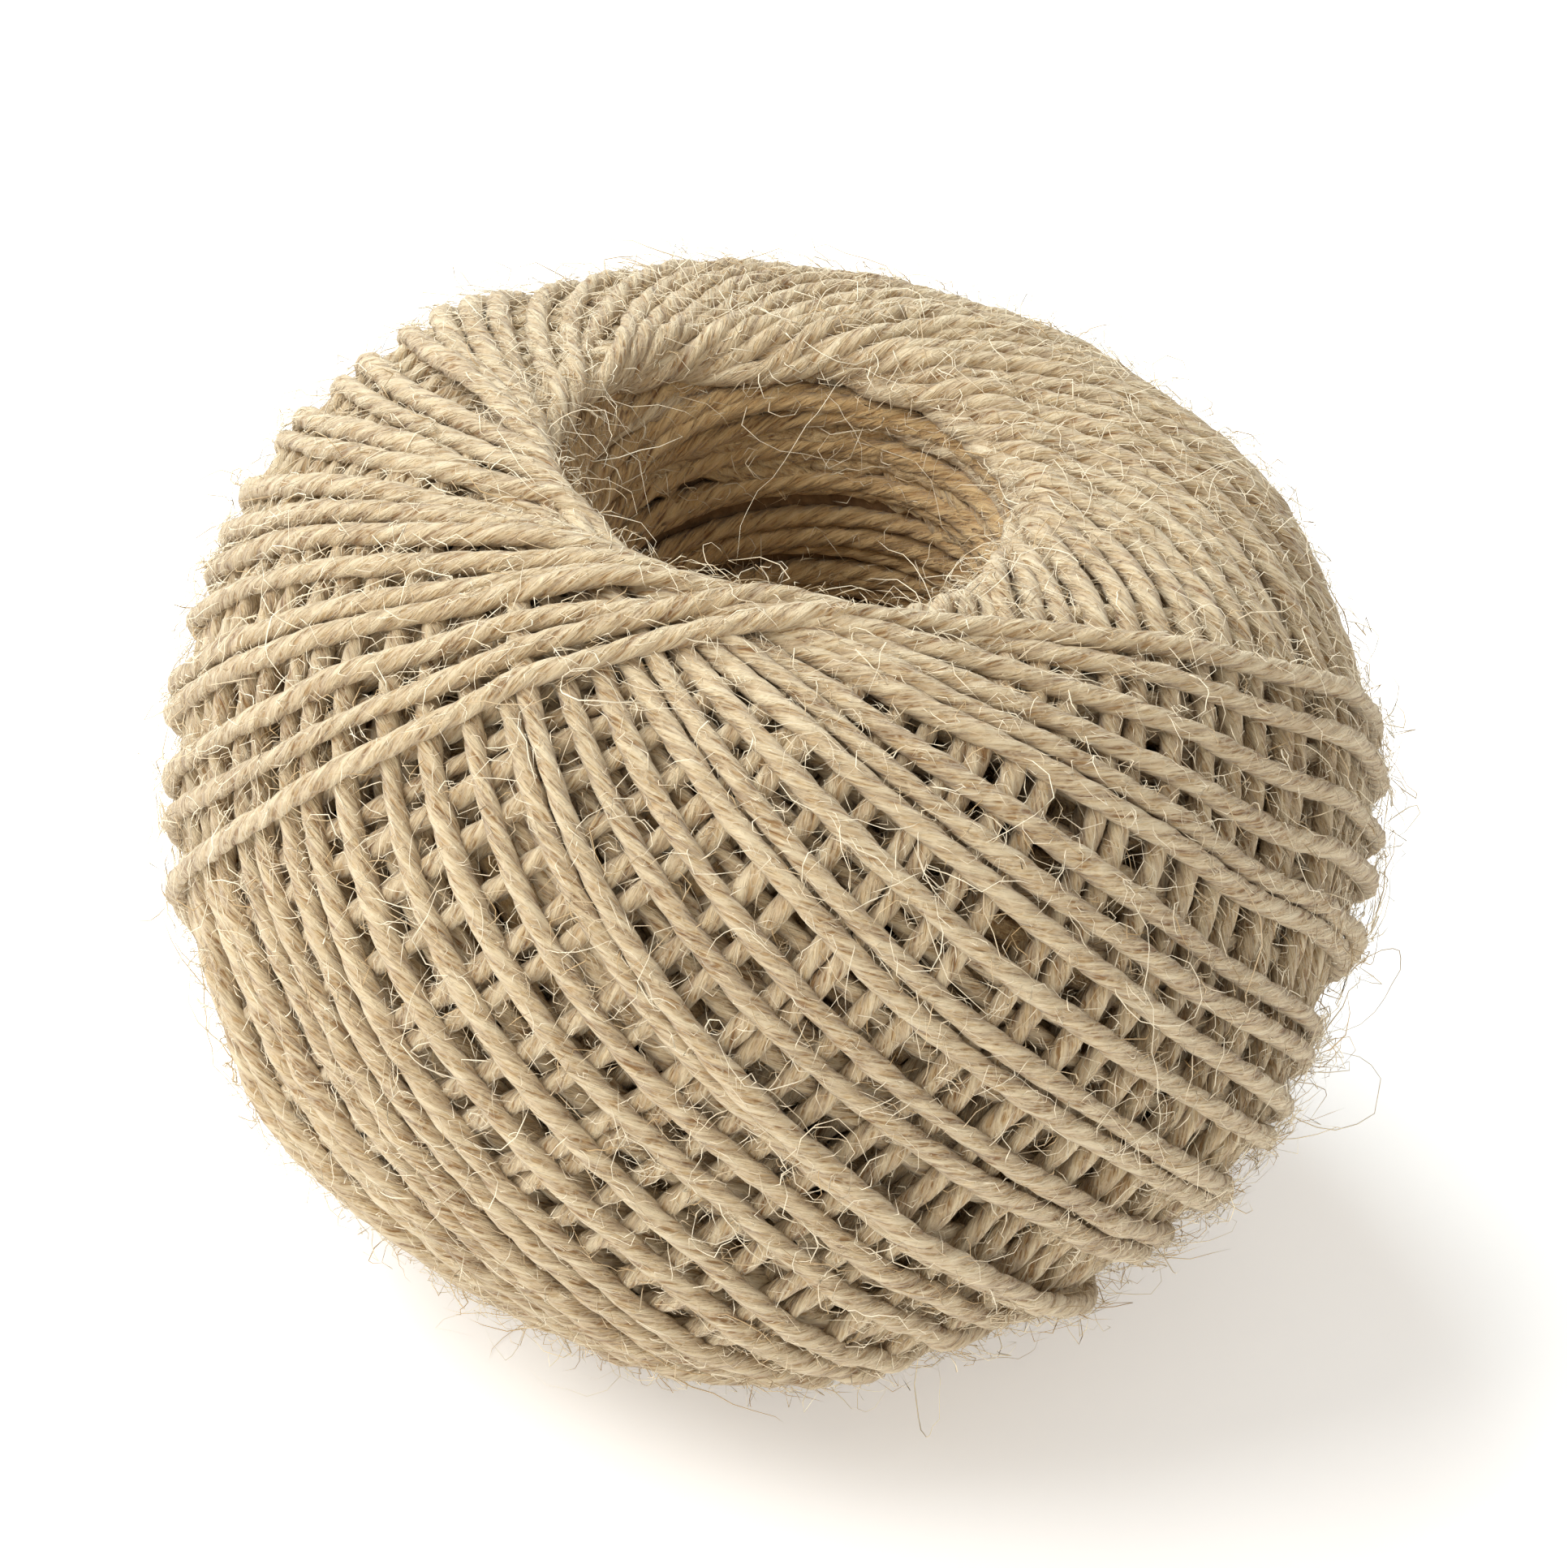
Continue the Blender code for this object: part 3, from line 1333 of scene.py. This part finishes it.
@dataclass
class InnerBall:
    """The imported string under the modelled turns."""

    form: BallForm
    depth: np.ndarray
    steps_around: int = 66
    skipped: int = 6
    weld: float = 0.001 * MM

    def build(self) -> bpy.types.Object:
        """Turn the form's outline into a closed body.

        Returns:
            The piece.
        """
        mesh = bmesh.new()
        rows = np.arange(len(self.depth)) * self.form.length / len(self.depth)
        depth = np.interp(self.form.table, rows, self.depth)
        rows = self.form.outline - self.form.away * (depth + self.form.swell)[:, None]
        rows = rows[: -self.skipped : self.skipped]
        ring = [mesh.verts.new((radius, 0.0, height)) for radius, height in rows]
        edges = [mesh.edges.new((ring[i - 1], ring[i])) for i in range(len(ring))]
        bmesh.ops.spin(
            mesh,
            geom=ring + edges,
            cent=(0.0, 0.0, 0.0),
            axis=(0.0, 0.0, 1.0),
            angle=tau,
            steps=self.steps_around,
            use_merge=True,
            use_duplicate=False,
        )
        bmesh.ops.remove_doubles(mesh, verts=mesh.verts[:], dist=self.weld)
        bmesh.ops.recalc_face_normals(mesh, faces=mesh.faces[:])
        data = bpy.data.meshes.new("inner_ball")
        mesh.to_mesh(data)
        mesh.free()
        data.shade_smooth()
        return link("inner_ball", data)


@dataclass
class StringBall:
    """The whole ball: its inner body, its turns and its loose fibres."""

    form: BallForm
    ply: Ply = Ply()
    wall_rings: int = 50
    core_cover: float = 1.5 * MM
    core_depth: float = 9.0 * MM

    def build(self) -> None:
        """Wind the ball and make every piece."""
        winder = Winder(self.form)
        runs = self._wind(winder)
        sweep = StringMesh(self.ply)
        finishes = (JuteFinish(), INNER_SHADE_JUTE, HOLE_SHADE_JUTE)
        jute, golden_shade, shaded = (finish.material(self.ply) for finish in finishes)
        outer = runs["outer"][0]
        half = len(outer.middle) // 2
        pieces = {
            "outer_turns_first": ([outer.part(0, half + 1)], Layer.OUTER, jute),
            "outer_turns_last": ([outer.part(half, len(outer.middle))], Layer.OUTER, jute),
            "middle_turns": (runs["middle"], Layer.MIDDLE, jute),
            # painted shade: the inner and deep turns take the warmer copy of the string's colours
            "inner_turns": (runs["inner"], Layer.INNER, golden_shade),
            "deep_turns": (runs["deep"], Layer.DEEP, golden_shade),
            # painted shade: the rings in the hole take the darker copy of the string's colours
            "hole_turns": (runs["wall"], Layer.MIDDLE, shaded),
        }
        for name, (strands, layer, material) in pieces.items():
            piece = sweep.build(name, strands, FINENESS[layer])
            dress(piece, material)
            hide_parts(BALL_NODE)
        level = winder.pile.level()
        log.info("pile: %.1f to %.1f mm thick", level.min() / MM, level.max() / MM)
        depth = np.clip(level + self.core_cover, 0, self.core_depth)
        # painted shade: the inner body is coloured dark to stand for the shade between the turns
        dress(InnerBall(self.form, depth).build(), PackedShadeFinish().material())
        fibre = FibreFinish().material()
        fuzz = Fuzz([outer, outer, *runs["middle"], *runs["wall"]])
        for kind in FIBRES:
            dress(fuzz.build(kind), fibre)

    def _wind(self, winder: Winder) -> dict[str, list[Strand]]:
        """Lay every turn, from the deepest out.

        Args:
            winder: The winder.

        Returns:
            The strands of each layer, by its name.
        """
        plans = (DEEP_PLAN, INNER_PLAN, MIDDLE_PLAN, OUTER_PLAN)
        start = winder.last_azimuth
        starts = {}
        for plan in reversed(plans):
            start -= winder.turn_angle * plan.turns
            starts[plan.name] = start
        routes = {plan.name: [winder.wind(plan, starts[plan.name])] for plan in plans[:-1]}
        wall = winder.wind_wall(self.wall_rings, Layer.MIDDLE)
        routes["outer"] = [winder.wind(OUTER_PLAN, starts["outer"])]
        routes["wall"] = wall
        runs = {name: [winder.strand(route) for route in laid] for name, laid in routes.items()}
        log.info("wound %.1f m of string", sum(strand.along[-1] for run in runs.values() for strand in run))
        return runs


# ---- The studio ----


@dataclass(frozen=True)
class SoftLight:
    """A soft square light: its place, power in watts, colour and the length of its sides."""

    name: str
    place: tuple[float, float, float]
    power: float
    colour: tuple[float, float, float]
    size: float = 0.7

    def build(self, target: Vector) -> None:
        """Add the light.

        Args:
            target: The point that it faces.
        """
        data = bpy.data.lights.new(self.name, "AREA")
        data.shape = "SQUARE"
        data.size = self.size
        data.energy = self.power
        data.color = self.colour
        light = link(self.name, data)
        light.location = self.place
        light.rotation_euler = (target - Vector(self.place)).to_track_quat("-Z", "Y").to_euler()


LIGHTS = (
    SoftLight("key", (-0.75, -0.15, 0.9), 9.8, (1.0, 0.99, 0.97)),
    SoftLight("back", (-0.45, 0.7, 1.0), 12.5, (0.86, 0.96, 1.0)),
    SoftLight("low", (-0.2, -1.1, 0.25), 3.5, (1.0, 0.94, 0.83)),
)


@dataclass
class Studio:
    """The floor, the soft lights and the camera."""

    centre: Vector
    radius: float
    elevation: float = radians(36.5)
    distance_in_radii: float = 18.0
    view_width_in_radii: float = 2.595
    sensor: float = 36.0
    shift: Pair = (0.007, 0.025)
    farthest: float = 20.0
    roll: float = radians(2.0)
    floor_reach: float = 4.0
    floor_colour: Colour = (0.9, 0.9, 0.9, 1.0)
    floor_roughness: float = 0.9
    floor_glow: float = 0.3
    air_colour: Colour = (1.0, 0.96, 0.9, 1.0)
    air_light: float = 0.58

    def build(self) -> None:
        """Set up the whole studio."""
        self._floor()
        self._camera()
        for light in LIGHTS:
            light.build(self.centre)
        world = bpy.data.worlds.new("studio")
        bpy.context.scene.world = world
        world.use_nodes = True
        background = world.node_tree.nodes["Background"]
        background.inputs["Color"].default_value = self.air_colour
        background.inputs["Strength"].default_value = self.air_light
        bpy.context.scene.view_settings.view_transform = "Standard"

    def _floor(self) -> None:
        """Lay a plain pale floor."""
        mesh = bmesh.new()
        bmesh.ops.create_grid(mesh, x_segments=1, y_segments=1, size=self.floor_reach)
        data = bpy.data.meshes.new("floor")
        mesh.to_mesh(data)
        mesh.free()
        floor = link("floor", data)
        material = Shader("floor").finish(
            base_color=self.floor_colour,
            roughness=self.floor_roughness,
            emission_color=(1.0, 1.0, 1.0, 1.0),
            emission_strength=self.floor_glow,
        )
        data.materials.append(material)

    def _camera(self) -> None:
        """Add the camera, in front of the ball and above it."""
        data = bpy.data.cameras.new("camera")
        data.sensor_width = self.sensor
        data.lens = self.sensor * self.distance_in_radii / self.view_width_in_radii
        data.shift_x, data.shift_y = self.shift
        data.clip_end = self.farthest
        camera = link("camera", data)
        away = Vector((0.0, -cos(self.elevation), sin(self.elevation)))
        camera.location = self.centre + away * self.radius * self.distance_in_radii
        turn = (-away).to_track_quat("-Z", "Y").to_matrix().to_4x4()
        camera.rotation_euler = (turn @ Matrix.Rotation(self.roll, 4, "Z")).to_euler()
        bpy.context.scene.camera = camera


def main() -> None:
    """Build the ball and its studio."""
    logging.basicConfig(level=logging.INFO, format="%(message)s")
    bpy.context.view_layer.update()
    low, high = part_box(BALL_NODE)
    radius = (high[0] - low[0]) / 2
    height = high[2] - low[2]
    StringBall(BallForm(radius, height)).build()
    Studio(Vector((0.0, 0.0, height / 2)), radius).build()


if __name__ == "__main__":
    main()
